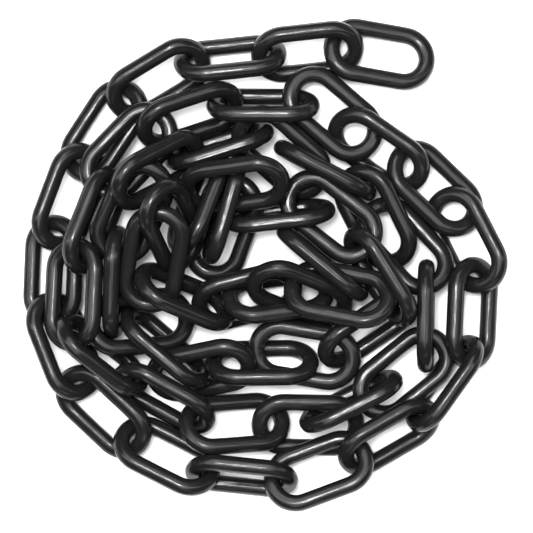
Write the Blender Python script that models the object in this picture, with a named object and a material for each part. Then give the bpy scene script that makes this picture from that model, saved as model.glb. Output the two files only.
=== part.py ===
"""A length of plastic barrier chain, piled up on a level floor. Metres, +Z up."""

import itertools
import math

import bpy
import numpy as np
from mathutils import Matrix

# Driving dimensions of one link, and the clearance kept between links
BAR_DIAMETER = 0.008
LINK_LENGTH = 0.056
LINK_WIDTH = 0.032
GAP = 0.0002
BAR_SIDES = 8
BEND_STEPS = 6
SMOOTH_UNDER = 60

BAR_RADIUS = BAR_DIAMETER / 2
BEND_RADIUS = LINK_WIDTH / 2 - BAR_RADIUS
HALF_STRAIGHT = LINK_LENGTH / 2 - LINK_WIDTH / 2

# The lay is read off the photo: metres to a pixel, and the pixel at the middle of the heap
METRES_PER_PIXEL = LINK_LENGTH / 112.5
MIDDLE_PHOTO_X = 266
MIDDLE_PHOTO_Y = 265

# How each link lies, from the free end inwards: the photo pixel of its middle, the heading of its
# long axis, and its roll about that axis, 0 being flat and plus the left side high, in degrees
LAY = [
    (382.5, 56, 174, 0),
    (314, 49, -177, -40),
    (235.5, 55, -180, 66),
    (161, 66, -150, -27),
    (107.5, 123.5, -119, 22),
    (71, 192, -109, -41),
    (58, 269, -97, 28),
    (62, 347.5, -76, -61),
    (103.5, 409, -42, 27),
    (169, 453, -34.5, -24),
    (243.5, 477.5, -3.7, 72),
    (321, 471.5, 24, -27),
    (390, 433, 33, 41),
    (444, 375.5, 52, -75),
    (472, 302, 87, 56),
    (464.5, 228.5, 125.5, 18),
    (432, 190, 130, 20),
    (377, 153, 147.5, -34),
    (335, 110, 138.6, -24),
    (260.5, 105, 177.5, 64),
    (200, 109, -150, -26),
    (139, 147, -135, 30),
    (98, 210, -110, -70),
    (73, 284, -94, 70),
    (108, 354, -44, -70),
    (174, 395, -20.5, 60),
    (247, 412, 2.6, -20),
    (314, 422, -17, 20),
    (352, 397, 27, -80),
    (404, 376, 19, -8),
    (429, 310, 90, 85),
    (412, 234, 140, 18),
    (379, 219, 130, -25),
    (322, 175, 151.5, -85),
    (285, 132, 140, -25),
    (224, 150, -164.5, 80),
    (155, 181, -135, -35),
    (124, 212, -122, 30),
    (109, 289, -83, -85),
    (130, 330, 0, -10),
    (183, 352, -40, -50),
    (217, 371, 0, 45),
    (262, 361, 0, -50),
    (308, 356, 0, 0),
    (380, 328, 33, 45),
    (380, 262, 138, -75),
    (324, 214, 132, 10),
    (290, 201, 160, 67),
    (222, 222, 92, 0),
    (222, 212, 84, 85),
    (234, 180, 196, 35),
    (209, 194, -122, -70),
    (170, 231, -90, -50),
    (147, 256, -90, 0),
    (184, 310, -32, -58),
    (240, 298, 18, 0),
    (288, 309, 0, -25),
    (302, 286, -26, 20),
    (342, 289, 0, -20),
    (324, 259, 147, 85),
]

# What a link may be moved by to thread it through the one before it, smallest first
FIRST_RISE = 0.004
LIFTS = (0, 0.004, -0.004, 0.008, -0.008, 0.012)
PITCHES = (0, 12, -12, 24, -24)
ROLLS = (0, 12, -12)
SHIFTS = (0, 0.003, -0.003, 0.006, -0.006)
LIFT_COST = 300
TURN_COST = 0.08
SHIFT_COST = 500

# How the links are let down on to each other: steps, and what draws a link to its lay in each step
LETTING_DOWN_STEPS = 900
FADING_STEPS = 500
LEAST_FADE = 0.04
DROP_PER_STEP = 0.0006
DROP_FADE_POWER = 1.5
PULL_TO_LAY = 0.05
MOST_PULL = 0.0006
DRIVE = 0.01
MOST_DRIVE = 0.01
PULL_TO_ROLL = 0.3
MOST_TURN = 0.04
EASED_BY = 0.01

# How the heap then settles under its own weight alone, and is cleared of the last overlap
SETTLING_STEPS = 60
SETTLING_DROP = 0.0002
CLEARING_STEPS = 500

# How bars push each other apart: the links laid first carry the heap and yield least
SWEEPS_PER_STEP = 4
LEAST_YIELD = 0.03
GYRATION = 0.017
LARGEST_MOVE = 0.003
PUSH = 1.2

# The direction that threading is looked at from, just off upright, and a number next to nothing
LOOKING_SLOPE = (0.0123, 0.0234)
TINY = 1e-18

BLACK_PLASTIC = (0.012, 0.012, 0.013, 1.0)


def link_line():
    """Centre line of one link, as stations round its closed loop, long axis x, flat in xy."""
    stations = []
    for end, first_angle in ((1, -90), (-1, 90)):
        for step in range(BEND_STEPS + 1):
            angle = math.radians(first_angle + 180 * step / BEND_STEPS)
            x = end * HALF_STRAIGHT + BEND_RADIUS * math.cos(angle)
            stations.append((x, BEND_RADIUS * math.sin(angle), 0.0))
    return np.array(stations)


def turn_about(axis, angle):
    """Rotation matrices about unit axes, one for each row."""
    x, y, z = axis[:, 0], axis[:, 1], axis[:, 2]
    c, s = np.cos(angle), np.sin(angle)
    t = 1 - c
    rows = [
        [t * x * x + c, t * x * y - s * z, t * x * z + s * y],
        [t * x * y + s * z, t * y * y + c, t * y * z - s * x],
        [t * x * z - s * y, t * y * z + s * x, t * z * z + c],
    ]
    return np.moveaxis(np.array(rows), 2, 0)


def turned(frames, spin):
    """The frames turned by a rotation vector each."""
    angle = np.sqrt((spin * spin).sum(1))
    safe = np.maximum(angle, TINY)
    turns = turn_about(spin / safe[:, None], angle)
    out = (turns[:, :, :, None] * frames[:, None, :, :]).sum(2)
    return squared(out)


def squared(frames):
    """The frames with their axes made square to each other again."""
    x = frames[:, :, 0]
    x = x / np.sqrt((x * x).sum(1))[:, None]
    y = frames[:, :, 1]
    y = y - x * (x * y).sum(1)[:, None]
    y = y / np.sqrt((y * y).sum(1))[:, None]
    return np.stack([x, y, np.cross(x, y)], axis=2)


def frame_of(heading, roll, pitch):
    """Rotation of a link: heading, then nose up by pitch, then left side up by roll, in degrees."""
    turn = Matrix.Rotation(math.radians(heading), 3, "Z")
    nose = Matrix.Rotation(-math.radians(pitch), 3, "Y")
    return np.array(turn @ nose @ Matrix.Rotation(math.radians(roll), 3, "X"))


def threadings(loop, others):
    """How many times the loop is threaded through each of the others, with sign."""
    slope = np.array(LOOKING_SLOPE)
    own = loop[:, :2] + loop[:, 2:] * slope
    step = np.roll(own, -1, axis=0) - own
    rise = np.roll(loop[:, 2], -1) - loop[:, 2]
    flat = others[:, :, :2] + others[:, :, 2:] * slope
    ahead = np.roll(flat, -1, axis=1) - flat
    climb = np.roll(others[:, :, 2], -1, axis=1) - others[:, :, 2]
    p = own[None, :, None, :]
    r = step[None, :, None, :]
    q = flat[:, None, :, :]
    s = ahead[:, None, :, :]
    across = r[..., 0] * s[..., 1] - r[..., 1] * s[..., 0]
    across = np.where(np.abs(across) < TINY, TINY, across)
    gap = q - p
    t = (gap[..., 0] * s[..., 1] - gap[..., 1] * s[..., 0]) / across
    u = (gap[..., 0] * r[..., 1] - gap[..., 1] * r[..., 0]) / across
    height = loop[:, 2][None, :, None] + t * rise[None, :, None]
    other_height = others[:, :, 2][:, None, :] + u * climb[:, None, :]
    over = (t > 0) & (t < 1) & (u > 0) & (u < 1) & (height > other_height)
    return (np.sign(across) * over).sum((1, 2)).astype(int)


def ways():
    """Every small change to a link's first place, cheapest first."""
    found = []
    for lift, pitch, roll, x, y in itertools.product(LIFTS, PITCHES, ROLLS, SHIFTS, SHIFTS):
        cost = LIFT_COST * abs(lift) + TURN_COST * (abs(pitch) + 2 * abs(roll))
        cost += SHIFT_COST * (abs(x) + abs(y))
        found.append((round(cost, 6), len(found), lift, pitch, roll, x, y))
    return sorted(found)


def first_lay(line):
    """Middles and frames before the links are let down, each above the last and threaded on it,
    and the places and frames that the photo shows."""
    middles = []
    frames = []
    loops = []
    places = []
    upright = []
    choices = ways()
    height = BAR_RADIUS
    for photo_x, photo_y, heading, roll in LAY:
        x = (photo_x - MIDDLE_PHOTO_X) * METRES_PER_PIXEL * 1.0
        y = (MIDDLE_PHOTO_Y - photo_y) * METRES_PER_PIXEL * 1.0
        places.append((x, y))
        upright.append(frame_of(heading, roll, 0))
        wanted = np.zeros(len(loops), int)
        wanted[-1:] = 1
        for _, _, lift, pitch, more_roll, shift_x, shift_y in choices:
            middle = np.array([x + shift_x, y + shift_y, height + lift])
            frame = frame_of(heading, roll + more_roll, pitch)
            loop = middle + (frame[None, :, :] * line[:, None, :]).sum(2)
            if not loops:
                break
            if (np.abs(threadings(loop, np.array(loops))) == wanted).all():
                break
        else:
            raise RuntimeError("a link can't be threaded through the one before it")
        middles.append(middle)
        frames.append(frame)
        loops.append(loop)
        height = middle[2] + FIRST_RISE
    return np.array(middles), np.array(frames), np.array(places), np.array(upright)


def placed(line, middles, frames):
    """World stations of every link."""
    return middles[:, None, :] + (frames[:, None, :, :] * line[None, :, None, :]).sum(3)


def near_pairs(middles, reach):
    """Index pairs of links whose middles are near enough to touch."""
    apart = middles[:, None, :] - middles[None, :, :]
    close = (apart * apart).sum(2) < reach * reach
    first, second = np.nonzero(np.triu(close, 1))
    return first, second


def closest_points(p, d, q, e):
    """Closest points of the segments p + s d and q + t e, s and t in 0 to 1."""
    r = p - q
    a = (d * d).sum(-1)
    b = (d * e).sum(-1)
    c = (e * e).sum(-1)
    f = (d * r).sum(-1)
    g = (e * r).sum(-1)
    spread = np.maximum(a * c - b * b, TINY)
    s = np.clip((b * g - c * f) / spread, 0, 1)
    t = np.clip((b * s + g) / c, 0, 1)
    s = np.clip((b * t - f) / a, 0, 1)
    return p + s[..., None] * d, q + t[..., None] * e


def contacts(stations, first, second, reach):
    """Every place where bars of two links are nearer than reach: links, points and direction."""
    sides = np.roll(stations, -1, axis=1) - stations
    low = stations.min(1) - reach / 2
    high = stations.max(1) + reach / 2
    meet = ((low[first] < high[second]) & (low[second] < high[first])).all(1)
    first = first[meet]
    second = second[meet]
    on_first, on_second = closest_points(
        stations[first][:, :, None, :],
        sides[first][:, :, None, :],
        stations[second][:, None, :, :],
        sides[second][:, None, :, :],
    )
    away = on_first - on_second
    apart = np.sqrt((away * away).sum(-1))
    pair, i, j = np.nonzero(apart < reach)
    depth = reach - apart[pair, i, j]
    direction = away[pair, i, j] / np.maximum(apart[pair, i, j], TINY)[:, None]
    return first[pair], second[pair], on_first[pair, i, j], on_second[pair, i, j], depth, direction


def pushed(middles, frames, line, reach):
    """One sweep: every overlap and every dip below the floor pushed out a little."""
    stations = placed(line, middles, frames)
    count = len(middles)
    first, second = near_pairs(middles, LINK_LENGTH + reach)
    a, b, on_a, on_b, depth, direction = contacts(stations, first, second, reach)
    move = np.zeros((count, 3))
    spin = np.zeros((count, 3))
    weight = np.full(count, TINY)
    arm_a = np.cross(on_a - middles[a], direction)
    arm_b = np.cross(on_b - middles[b], direction)
    give_a = 1 + (arm_a * arm_a).sum(1) / GYRATION**2
    give_b = 1 + (arm_b * arm_b).sum(1) / GYRATION**2
    yielding = np.geomspace(LEAST_YIELD, 1, count)
    size = depth / (give_a * yielding[a] + give_b * yielding[b])
    for own, arm, sign in ((a, arm_a, 1), (b, arm_b, -1)):
        scaled = depth * size * yielding[own]
        np.add.at(move, own, sign * scaled[:, None] * direction)
        np.add.at(spin, own, sign * scaled[:, None] * arm / GYRATION**2)
        np.add.at(weight, own, depth)
    under = np.maximum(BAR_RADIUS - stations[:, :, 2], 0)
    link, station = np.nonzero(under > 0)
    if len(link):
        up = np.zeros((len(link), 3))
        up[:, 2] = 1
        arm = np.cross(stations[link, station] - middles[link], up)
        deep = under[link, station]
        lift = deep / (1 + (arm * arm).sum(1) / GYRATION**2)
        np.add.at(move, link, (deep * lift)[:, None] * up)
        np.add.at(spin, link, (deep * lift)[:, None] * arm / GYRATION**2)
        np.add.at(weight, link, deep)
    move = PUSH * move / weight[:, None]
    spin = PUSH * spin / weight[:, None]
    length = np.sqrt((move * move).sum(1))
    move = move * np.minimum(1, LARGEST_MOVE / np.maximum(length, TINY))[:, None]
    strain = under.max(1)
    np.maximum.at(strain, a, depth)
    np.maximum.at(strain, b, depth)
    return middles + move, turned(frames, spin), strain


def drawn(middles, frames, places, upright, drive, ease):
    """The links moved a little towards the places and the frames that the photo shows."""
    missing = places - middles[:, :2]
    drive = np.clip(drive + DRIVE * missing, -MOST_DRIVE, MOST_DRIVE)
    pull = np.clip(PULL_TO_LAY * (missing + drive), -MOST_PULL, MOST_PULL)
    middles[:, :2] += ease[:, None] * pull
    spin = np.cross(frames[:, :, 0], upright[:, :, 0])
    spin += np.cross(frames[:, :, 2], upright[:, :, 2])
    turn = np.clip(PULL_TO_ROLL * spin, -MOST_TURN, MOST_TURN)
    return middles, turned(frames, ease[:, None] * turn), drive


def let_down(line):
    """Middles and frames of the links lying on the floor and on each other, clear of overlap."""
    middles, frames, places, upright = first_lay(line)
    reach = BAR_DIAMETER + GAP
    drive = np.zeros_like(places)
    strain = np.zeros(len(middles))
    for step in range(LETTING_DOWN_STEPS):
        fade = max(LEAST_FADE, min(1, (LETTING_DOWN_STEPS - step) / FADING_STEPS))
        ease = fade / (1 + (strain / EASED_BY) ** 2)
        middles[:, 2] -= fade**DROP_FADE_POWER * DROP_PER_STEP
        middles, frames, drive = drawn(middles, frames, places, upright, drive, ease)
        for _ in range(SWEEPS_PER_STEP):
            middles, frames, strain = pushed(middles, frames, line, reach)
    for step in range(SETTLING_STEPS):
        middles[:, 2] -= (1 - step / SETTLING_STEPS) * SETTLING_DROP
        for _ in range(SWEEPS_PER_STEP):
            middles, frames, strain = pushed(middles, frames, line, reach)
    for _ in range(CLEARING_STEPS):
        middles, frames, strain = pushed(middles, frames, line, reach + GAP / 2)
        if strain.max() < GAP / 2:
            break
    return middles, frames


def link_vertices(stations):
    """Corners of one link: a bar with BAR_SIDES sides swept round the stations."""
    ahead = np.roll(stations, -1, axis=0) - stations
    ahead = ahead / np.sqrt((ahead * ahead).sum(1))[:, None]
    along = ahead + np.roll(ahead, 1, axis=0)
    along = along / np.sqrt((along * along).sum(1))[:, None]
    middle = stations.mean(0)
    normal = np.cross(stations[0] - middle, stations[len(stations) // 4] - middle)
    normal = normal / math.sqrt((normal * normal).sum())
    side = np.cross(along, normal)
    angle = 2 * math.pi * (np.arange(BAR_SIDES) + 0.5) / BAR_SIDES
    offset = side[:, None, :] * np.cos(angle)[None, :, None]
    offset = offset + normal * np.sin(angle)[None, :, None]
    return (stations[:, None, :] + BAR_RADIUS * offset).reshape(-1, 3)


def link_object(name, vertices, material):
    """One link from its corners, shaded smooth round the bar."""
    rings = len(vertices) // BAR_SIDES
    faces = []
    for ring in range(rings):
        start = ring * BAR_SIDES
        after = (ring + 1) % rings * BAR_SIDES
        for corner in range(BAR_SIDES):
            across = (corner + 1) % BAR_SIDES
            faces.append((start + corner, after + corner, after + across, start + across))
    mesh = bpy.data.meshes.new(name)
    mesh.from_pydata([tuple(vertex) for vertex in vertices], [], faces)
    mesh.update()
    mesh.polygons.foreach_set("use_smooth", [True] * len(mesh.polygons))
    mesh.set_sharp_from_angle(angle=math.radians(SMOOTH_UNDER))
    mesh.materials.append(material)
    link = bpy.data.objects.new(name, mesh)
    bpy.context.scene.collection.objects.link(link)


def chain_plastic():
    """The one material of every link."""
    material = bpy.data.materials.new("chain_plastic")
    material.use_nodes = True
    shader = material.node_tree.nodes["Principled BSDF"]
    shader.inputs["Base Color"].default_value = BLACK_PLASTIC
    shader.inputs["Roughness"].default_value = 0.38
    return material


def main():
    for old in list(bpy.data.objects):
        bpy.data.objects.remove(old)
    line = link_line()
    middles, frames = let_down(line)
    corners = np.array([link_vertices(own) for own in placed(line, middles, frames)])
    low = corners.min((0, 1))
    high = corners.max((0, 1))
    corners = corners - np.array([(low[0] + high[0]) / 2, (low[1] + high[1]) / 2, low[2]])
    material = chain_plastic()
    for number, own in enumerate(corners, 1):
        link_object(f"link_{number:02d}", own, material)


main()
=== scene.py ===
import math

import bpy
import numpy as np
from mathutils import Matrix, Vector


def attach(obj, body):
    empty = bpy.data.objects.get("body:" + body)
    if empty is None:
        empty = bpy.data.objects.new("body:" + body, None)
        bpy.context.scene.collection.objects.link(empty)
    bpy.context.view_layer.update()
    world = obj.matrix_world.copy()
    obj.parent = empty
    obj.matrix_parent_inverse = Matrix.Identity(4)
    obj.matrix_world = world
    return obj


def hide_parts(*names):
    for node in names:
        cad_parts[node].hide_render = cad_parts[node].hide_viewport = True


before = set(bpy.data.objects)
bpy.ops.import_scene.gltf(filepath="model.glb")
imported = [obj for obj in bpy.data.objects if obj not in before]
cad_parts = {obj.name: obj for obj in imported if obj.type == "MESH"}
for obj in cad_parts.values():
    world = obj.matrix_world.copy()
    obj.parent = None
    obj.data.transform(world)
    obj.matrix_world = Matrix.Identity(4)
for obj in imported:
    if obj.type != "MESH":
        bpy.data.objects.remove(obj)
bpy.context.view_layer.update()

# One link as it is moulded: bar, outer length and outer width, in metres
BAR_DIAMETER = 0.008
LINK_LENGTH = 0.056
LINK_WIDTH = 0.032
BAR_RADIUS = BAR_DIAMETER / 2
BEND_RADIUS = (LINK_WIDTH - BAR_DIAMETER) / 2
HALF_STRAIGHT = (LINK_LENGTH - LINK_WIDTH) / 2
STRAIGHT = 2 * HALF_STRAIGHT
BEND = math.pi * BEND_RADIUS
WAY_ROUND = 2 * (STRAIGHT + BEND)

# How fine the link mesh is
STRAIGHT_STEPS = 10
BEND_STEPS = 24
SECTION_STEPS = 28

# The bar's section is a round with slight flats, and a parting line runs round its edge
SECTION_SQUARENESS = 2.25
SEAM_HEIGHT = 0.00011
SEAM_WIDTH_DEGREES = 4.0

# Faint marks drawn along the bar: how many lie round it, and how soon each fades out
MARKS_ROUND = 3.2
MARKS_ALONG = 1.1

# Links rub on each other at the inside of the bends
RUB_SHARPNESS = 3
RUB_GAIN = 1.2

# How far apart in the noise two links with the darkest and the lightest tone are
NOISE_SPREAD = 37.0

# The plastic: its colours, how they are mixed, and its sheen
DARKER_BLACK = (0.0068, 0.0068, 0.0069, 1)
LIGHTER_BLACK = (0.0134, 0.0134, 0.0136, 1)
SCUFFED_GREY = (0.060, 0.060, 0.061, 1)
FLOW_IN_COLOUR = 0.6
TONE_IN_COLOUR = 0.4
SCUFF_IN_COLOUR = 0.5
PLASTIC_IOR = 1.45
PLASTIC_SPECULAR = 0.31
SCUFF_IN_ROUGHNESS = 0.2

# Noises in the plastic: scale, detail, roughness and distortion
FLOW_NOISE = (55, 3, 0.55, 0.6)
GRAIN_NOISE = (2600, 3, 0.6, 0.0)
MOTTLE_NOISE = (260, 4, 0.6, 0.0)
SCUFF_NOISE = (420, 5, 0.7, 1.5)
MARKS_NOISE = (1.0, 2.0, 0.6, 0.0)

# What a noise is turned into: value of the noise and what it gives, at two stops
SCUFF_STOPS = ((0.52, 0.0), (0.68, 1.0))
ROUGHNESS_STOPS = ((0.30, 0.15), (0.72, 0.28))

# The relief, in metres, and how much of it is grain and drawn marks
BUMP_DISTANCE = 0.0002
BUMP_STRENGTH = 0.25
GRAIN_IN_BUMP = 0.35
MARKS_IN_BUMP = 4.0

# The photo's frame: a link's length and the picture's width in pixels, and where the camera stands
LINK_PIXELS = 112.5
METRES_PER_PIXEL = LINK_LENGTH / LINK_PIXELS
PHOTO_PIXELS = 533
CAMERA_HEIGHT = 1.7
FOCUS_HEIGHT = 0.015
SENSOR_MM = 36.0
FRAMING = 0.99
NEAREST_SEEN = 0.01
FARTHEST_SEEN = 20
CAMERA_X = 0.0010
CAMERA_Y = -0.0012

# The stage: a floor just under the links, and its paint
FLOOR_HALF = 3.0
FLOOR_DROP = 0.0002
FLOOR_WHITE = (0.80, 0.80, 0.80, 1)
FLOOR_ROUGHNESS = 0.9
FLOOR_SPECULAR = 0.1

# Lamps: name, place, size and power. A wide and a small one are overhead, and weak ones stand round
LAMPS = (
    ("above", (-0.25, 0.30, 2.4), (3.0, 3.0), 118),
    ("over", (-0.19, 0.25, 2.4), (0.42, 0.42), 48),
    ("far", (0.0, 1.3, 1.3), (1.3, 0.25), 5),
    ("right", (1.3, 0.1, 1.1), (0.25, 1.3), 4),
    ("left", (-1.3, 0.0, 1.1), (0.25, 1.3), 5),
    ("near", (0.1, -1.4, 1.0), (1.2, 0.25), 3),
)
WORLD_STRENGTH = 0.12

SEED = 7
rng = np.random.default_rng(SEED)


def bend_point(end, a):
    """Point and outward direction on a bend, at an angle about its middle. End is 1 or -1 along x."""
    out = (math.cos(a), math.sin(a))
    return (end * HALF_STRAIGHT + BEND_RADIUS * out[0], BEND_RADIUS * out[1]), out


def stadium_point(along):
    """Point and outward direction at a share (0 to 1) of the way round the link's centre line."""
    s = along % 1.0 * WAY_ROUND
    if s < STRAIGHT:
        return (-HALF_STRAIGHT + s, -BEND_RADIUS), (0.0, -1.0)
    s -= STRAIGHT
    if s < BEND:
        return bend_point(1, -math.pi / 2 + s / BEND_RADIUS)
    s -= BEND
    if s < STRAIGHT:
        return (HALF_STRAIGHT - s, BEND_RADIUS), (0.0, 1.0)
    s -= STRAIGHT
    return bend_point(-1, math.pi / 2 + s / BEND_RADIUS)


def station_shares():
    """Shares of the way round the link, closer together in the bends."""
    shares = []
    start = 0.0
    for length, steps in ((STRAIGHT, STRAIGHT_STEPS), (BEND, BEND_STEPS)) * 2:
        shares += [(start + length * k / steps) / WAY_ROUND for k in range(steps)]
        start += length
    return shares


def section_angles():
    """Angles round the bar, with three close together at each parting line."""
    angles = []
    half = math.radians(SEAM_WIDTH_DEGREES)
    rest = SECTION_STEPS // 2 - 3
    span = math.pi - 2 * half
    for side in (0.0, math.pi):
        angles += [side - half, side, side + half]
        angles += [side + half + span * k / (rest + 1) for k in range(1, rest + 1)]
    return angles


def section_radius(angle):
    """Distance from the bar's centre line to its skin."""
    c = abs(math.cos(angle)) ** SECTION_SQUARENESS
    s = abs(math.sin(angle)) ** SECTION_SQUARENESS
    radius = BAR_RADIUS * (c + s) ** (-1 / SECTION_SQUARENESS)
    on_seam = math.isclose(math.sin(angle), 0.0, abs_tol=1e-6)
    return radius + (SEAM_HEIGHT if on_seam else 0.0)


def link_mesh(name, tone, place):
    """The detailed link in its place. Attributes keep its tone, rubbed places, marks and own place."""
    shares = station_shares()
    angles = section_angles()
    rings, sides = len(shares), len(angles)
    points = []
    rubbed = []
    drawn = []
    drawn_turn = []
    for share in shares:
        (x, y), (ox, oy) = stadium_point(share)
        at_end = max(0.0, abs(ox))
        turn = 2 * math.pi * share
        for angle in angles:
            r = section_radius(angle)
            out, up = r * math.cos(angle), r * math.sin(angle)
            points.append((x + ox * out, y + oy * out, up))
            inner = max(0.0, -math.cos(angle))
            rubbed.append(min(1.0, at_end ** RUB_SHARPNESS * inner * RUB_GAIN))
            drawn += [MARKS_ROUND * math.cos(angle), MARKS_ROUND * math.sin(angle),
                      MARKS_ALONG * math.cos(turn)]
            drawn_turn.append(MARKS_ALONG * math.sin(turn) + NOISE_SPREAD * tone)
    faces = []
    uvs = []
    for i in range(rings):
        j = (i + 1) % rings
        for k in range(sides):
            m = (k + 1) % sides
            faces.append((i * sides + k, j * sides + k, j * sides + m, i * sides + m))
            u0, u1 = i / rings, (i + 1) / rings
            v0, v1 = k / sides, (k + 1) / sides
            uvs += [(u0, v0), (u1, v0), (u1, v1), (u0, v1)]
    mesh = bpy.data.meshes.new(name)
    mesh.from_pydata(points, [], faces)
    layer = mesh.uv_layers.new(name="round_and_along")
    layer.data.foreach_set("uv", [c for uv in uvs for c in uv])
    rub = mesh.attributes.new("rubbed", "FLOAT", "POINT")
    rub.data.foreach_set("value", rubbed)
    shade = mesh.attributes.new("tone", "FLOAT", "POINT")
    shade.data.foreach_set("value", [tone] * len(points))
    marks = mesh.attributes.new("drawn", "FLOAT_VECTOR", "POINT")
    marks.data.foreach_set("vector", drawn)
    marks_turn = mesh.attributes.new("drawn_turn", "FLOAT", "POINT")
    marks_turn.data.foreach_set("value", drawn_turn)
    own = mesh.attributes.new("own_place", "FLOAT_VECTOR", "POINT")
    own.data.foreach_set("vector", [c for point in points for c in point])
    mesh.polygons.foreach_set("use_smooth", [True] * len(mesh.polygons))
    mesh.transform(place)
    mesh.update()
    return mesh


def link_pose(node):
    """Place of a CAD link: its middle, and its long, cross and upright axes, from its corners."""
    corners = np.array([node.matrix_world @ v.co for v in node.data.vertices])
    spread = corners - corners.mean(0)
    _, _, axes = np.linalg.svd(spread, full_matrices=False)
    if axes[2][2] < 0:
        axes[2] = -axes[2]
    if axes[0][0] < 0:
        axes[0] = -axes[0]
    axes[1] = np.cross(axes[2], axes[0])
    share = spread @ axes.T
    middle = corners.mean(0) + (share.max(0) + share.min(0)) / 2 @ axes
    place = Matrix(axes.T.tolist()).to_4x4()
    place.translation = Vector(middle)
    return place


class Shading:
    """Short ways to add nodes to a material."""

    def __init__(self, name):
        self.material = bpy.data.materials.new(name)
        self.material.use_nodes = True
        self.nodes = self.material.node_tree.nodes
        self.wires = self.material.node_tree.links
        self.shader = self.nodes["Principled BSDF"]

    def attribute(self, name):
        node = self.nodes.new("ShaderNodeAttribute")
        node.attribute_name = name
        return node

    def noise(self, settings, where, turn):
        node = self.nodes.new("ShaderNodeTexNoise")
        node.noise_dimensions = "4D"
        for name, value in zip(("Scale", "Detail", "Roughness", "Distortion"), settings):
            node.inputs[name].default_value = value
        self.wires.new(where, node.inputs["Vector"])
        self.wires.new(turn, node.inputs["W"])
        return node.outputs["Fac"]

    def ramp(self, source, stops):
        node = self.nodes.new("ShaderNodeValToRGB")
        for element, (at, value) in zip(node.color_ramp.elements, stops):
            element.position = at
            element.color = (value, value, value, 1)
        self.wires.new(source, node.inputs["Fac"])
        return node.outputs["Color"]

    def math(self, operation, a, b):
        node = self.nodes.new("ShaderNodeMath")
        node.operation = operation
        for place, value in enumerate((a, b)):
            if isinstance(value, (int, float)):
                node.inputs[place].default_value = value
            else:
                self.wires.new(value, node.inputs[place])
        return node.outputs[0]

    def mixed(self, a, b, share):
        node = self.nodes.new("ShaderNodeMix")
        node.data_type = "RGBA"
        for place, value in (("A", a), ("B", b)):
            if isinstance(value, tuple):
                node.inputs[place].default_value = value
            else:
                self.wires.new(value, node.inputs[place])
        self.wires.new(share, node.inputs["Factor"])
        return node.outputs["Result"]


def plastic():
    """Black moulded plastic: satin, with flow and drawn marks, fine grain, and scuffs where links rub."""
    m = Shading("black_chain_plastic")
    m.shader.inputs["IOR"].default_value = PLASTIC_IOR
    m.shader.inputs["Specular IOR Level"].default_value = PLASTIC_SPECULAR

    where = m.attribute("own_place").outputs["Vector"]
    tone = m.attribute("tone").outputs["Fac"]
    rubbed = m.attribute("rubbed").outputs["Fac"]
    turn = m.math("MULTIPLY", tone, NOISE_SPREAD)
    flow = m.noise(FLOW_NOISE, where, turn)
    grain = m.noise(GRAIN_NOISE, where, turn)
    mottle = m.noise(MOTTLE_NOISE, where, turn)
    scuffs = m.noise(SCUFF_NOISE, where, turn)
    marks = m.noise(MARKS_NOISE, m.attribute("drawn").outputs["Vector"],
                    m.attribute("drawn_turn").outputs["Fac"])
    worn = m.math("MULTIPLY", m.ramp(scuffs, SCUFF_STOPS), rubbed)

    lighter = m.math("ADD", m.math("MULTIPLY", flow, FLOW_IN_COLOUR),
                     m.math("MULTIPLY", tone, TONE_IN_COLOUR))
    black = m.mixed(DARKER_BLACK, LIGHTER_BLACK, lighter)
    colour = m.mixed(black, SCUFFED_GREY, m.math("MULTIPLY", worn, SCUFF_IN_COLOUR))
    m.wires.new(colour, m.shader.inputs["Base Color"])

    rough = m.math("ADD", m.ramp(mottle, ROUGHNESS_STOPS), m.math("MULTIPLY", worn, SCUFF_IN_ROUGHNESS))
    m.wires.new(rough, m.shader.inputs["Roughness"])

    relief = m.math("ADD", flow, m.math("MULTIPLY", marks, MARKS_IN_BUMP))
    height = m.math("ADD", m.math("MULTIPLY", grain, GRAIN_IN_BUMP), relief)
    bump = m.nodes.new("ShaderNodeBump")
    bump.inputs["Strength"].default_value = BUMP_STRENGTH
    bump.inputs["Distance"].default_value = BUMP_DISTANCE
    m.wires.new(height, bump.inputs["Height"])
    m.wires.new(bump.outputs["Normal"], m.shader.inputs["Normal"])
    return m.material


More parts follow.
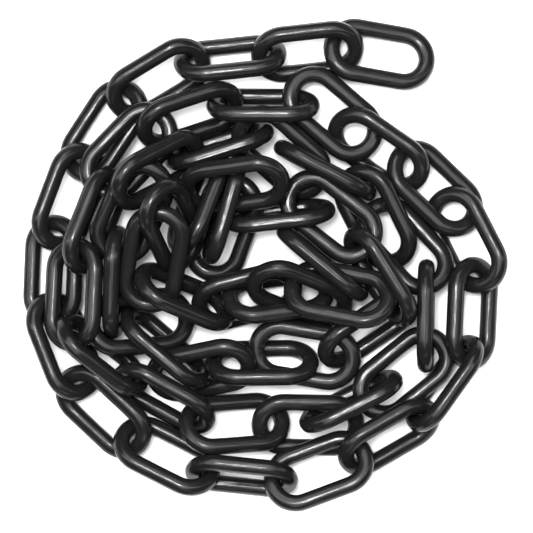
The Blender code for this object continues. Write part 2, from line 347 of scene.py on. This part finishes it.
def floor():
    """Pale level floor, a hair under the lowest links."""
    mesh = bpy.data.meshes.new("floor")
    h = FLOOR_HALF
    mesh.from_pydata([(-h, -h, 0), (h, -h, 0), (h, h, 0), (-h, h, 0)], [], [(0, 1, 2, 3)])
    slab = bpy.data.objects.new("floor", mesh)
    bpy.context.scene.collection.objects.link(slab)
    slab.location.z = -FLOOR_DROP
    paint = bpy.data.materials.new("floor_white")
    paint.use_nodes = True
    shader = paint.node_tree.nodes["Principled BSDF"]
    shader.inputs["Base Color"].default_value = FLOOR_WHITE
    shader.inputs["Roughness"].default_value = FLOOR_ROUGHNESS
    shader.inputs["Specular IOR Level"].default_value = FLOOR_SPECULAR
    mesh.materials.append(paint)


def lights():
    """Soft lamps that look at the middle of the floor, and a dim white world."""
    for name, at, size, power in LAMPS:
        lamp = bpy.data.lights.new(name, "AREA")
        lamp.shape = "RECTANGLE"
        lamp.size, lamp.size_y = size
        lamp.energy = power
        thing = bpy.data.objects.new(name, lamp)
        thing.location = at
        thing.rotation_euler = (-Vector(at)).to_track_quat("-Z", "Y").to_euler()
        bpy.context.scene.collection.objects.link(thing)

    world = bpy.data.worlds.new("studio")
    bpy.context.scene.world = world
    world.use_nodes = True
    sky = world.node_tree.nodes["Background"]
    sky.inputs["Color"].default_value = (1, 1, 1, 1)
    sky.inputs["Strength"].default_value = WORLD_STRENGTH


def camera():
    """The photo's camera: straight down, nudged to frame the heap as the photo does."""
    lens = bpy.data.cameras.new("camera")
    lens.sensor_width = SENSOR_MM
    seen = PHOTO_PIXELS * METRES_PER_PIXEL * FRAMING
    lens.lens = SENSOR_MM * (CAMERA_HEIGHT - FOCUS_HEIGHT) / seen
    lens.clip_start, lens.clip_end = NEAREST_SEEN, FARTHEST_SEEN
    eye = bpy.data.objects.new("camera", lens)
    eye.location = (CAMERA_X, CAMERA_Y, CAMERA_HEIGHT)
    bpy.context.scene.collection.objects.link(eye)
    bpy.context.scene.camera = eye


chain_material = plastic()
for name in sorted(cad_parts):
    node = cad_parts[name]
    mesh = link_mesh("moulded_" + name, float(rng.random()), link_pose(node))
    piece = bpy.data.objects.new("moulded_" + name, mesh)
    piece.data.materials.append(chain_material)
    bpy.context.scene.collection.objects.link(piece)
    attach(piece, "root")
    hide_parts(name)

floor()
lights()
camera()
scene = bpy.context.scene
scene.view_settings.view_transform = "Standard"
scene.view_settings.look = "Medium High Contrast"
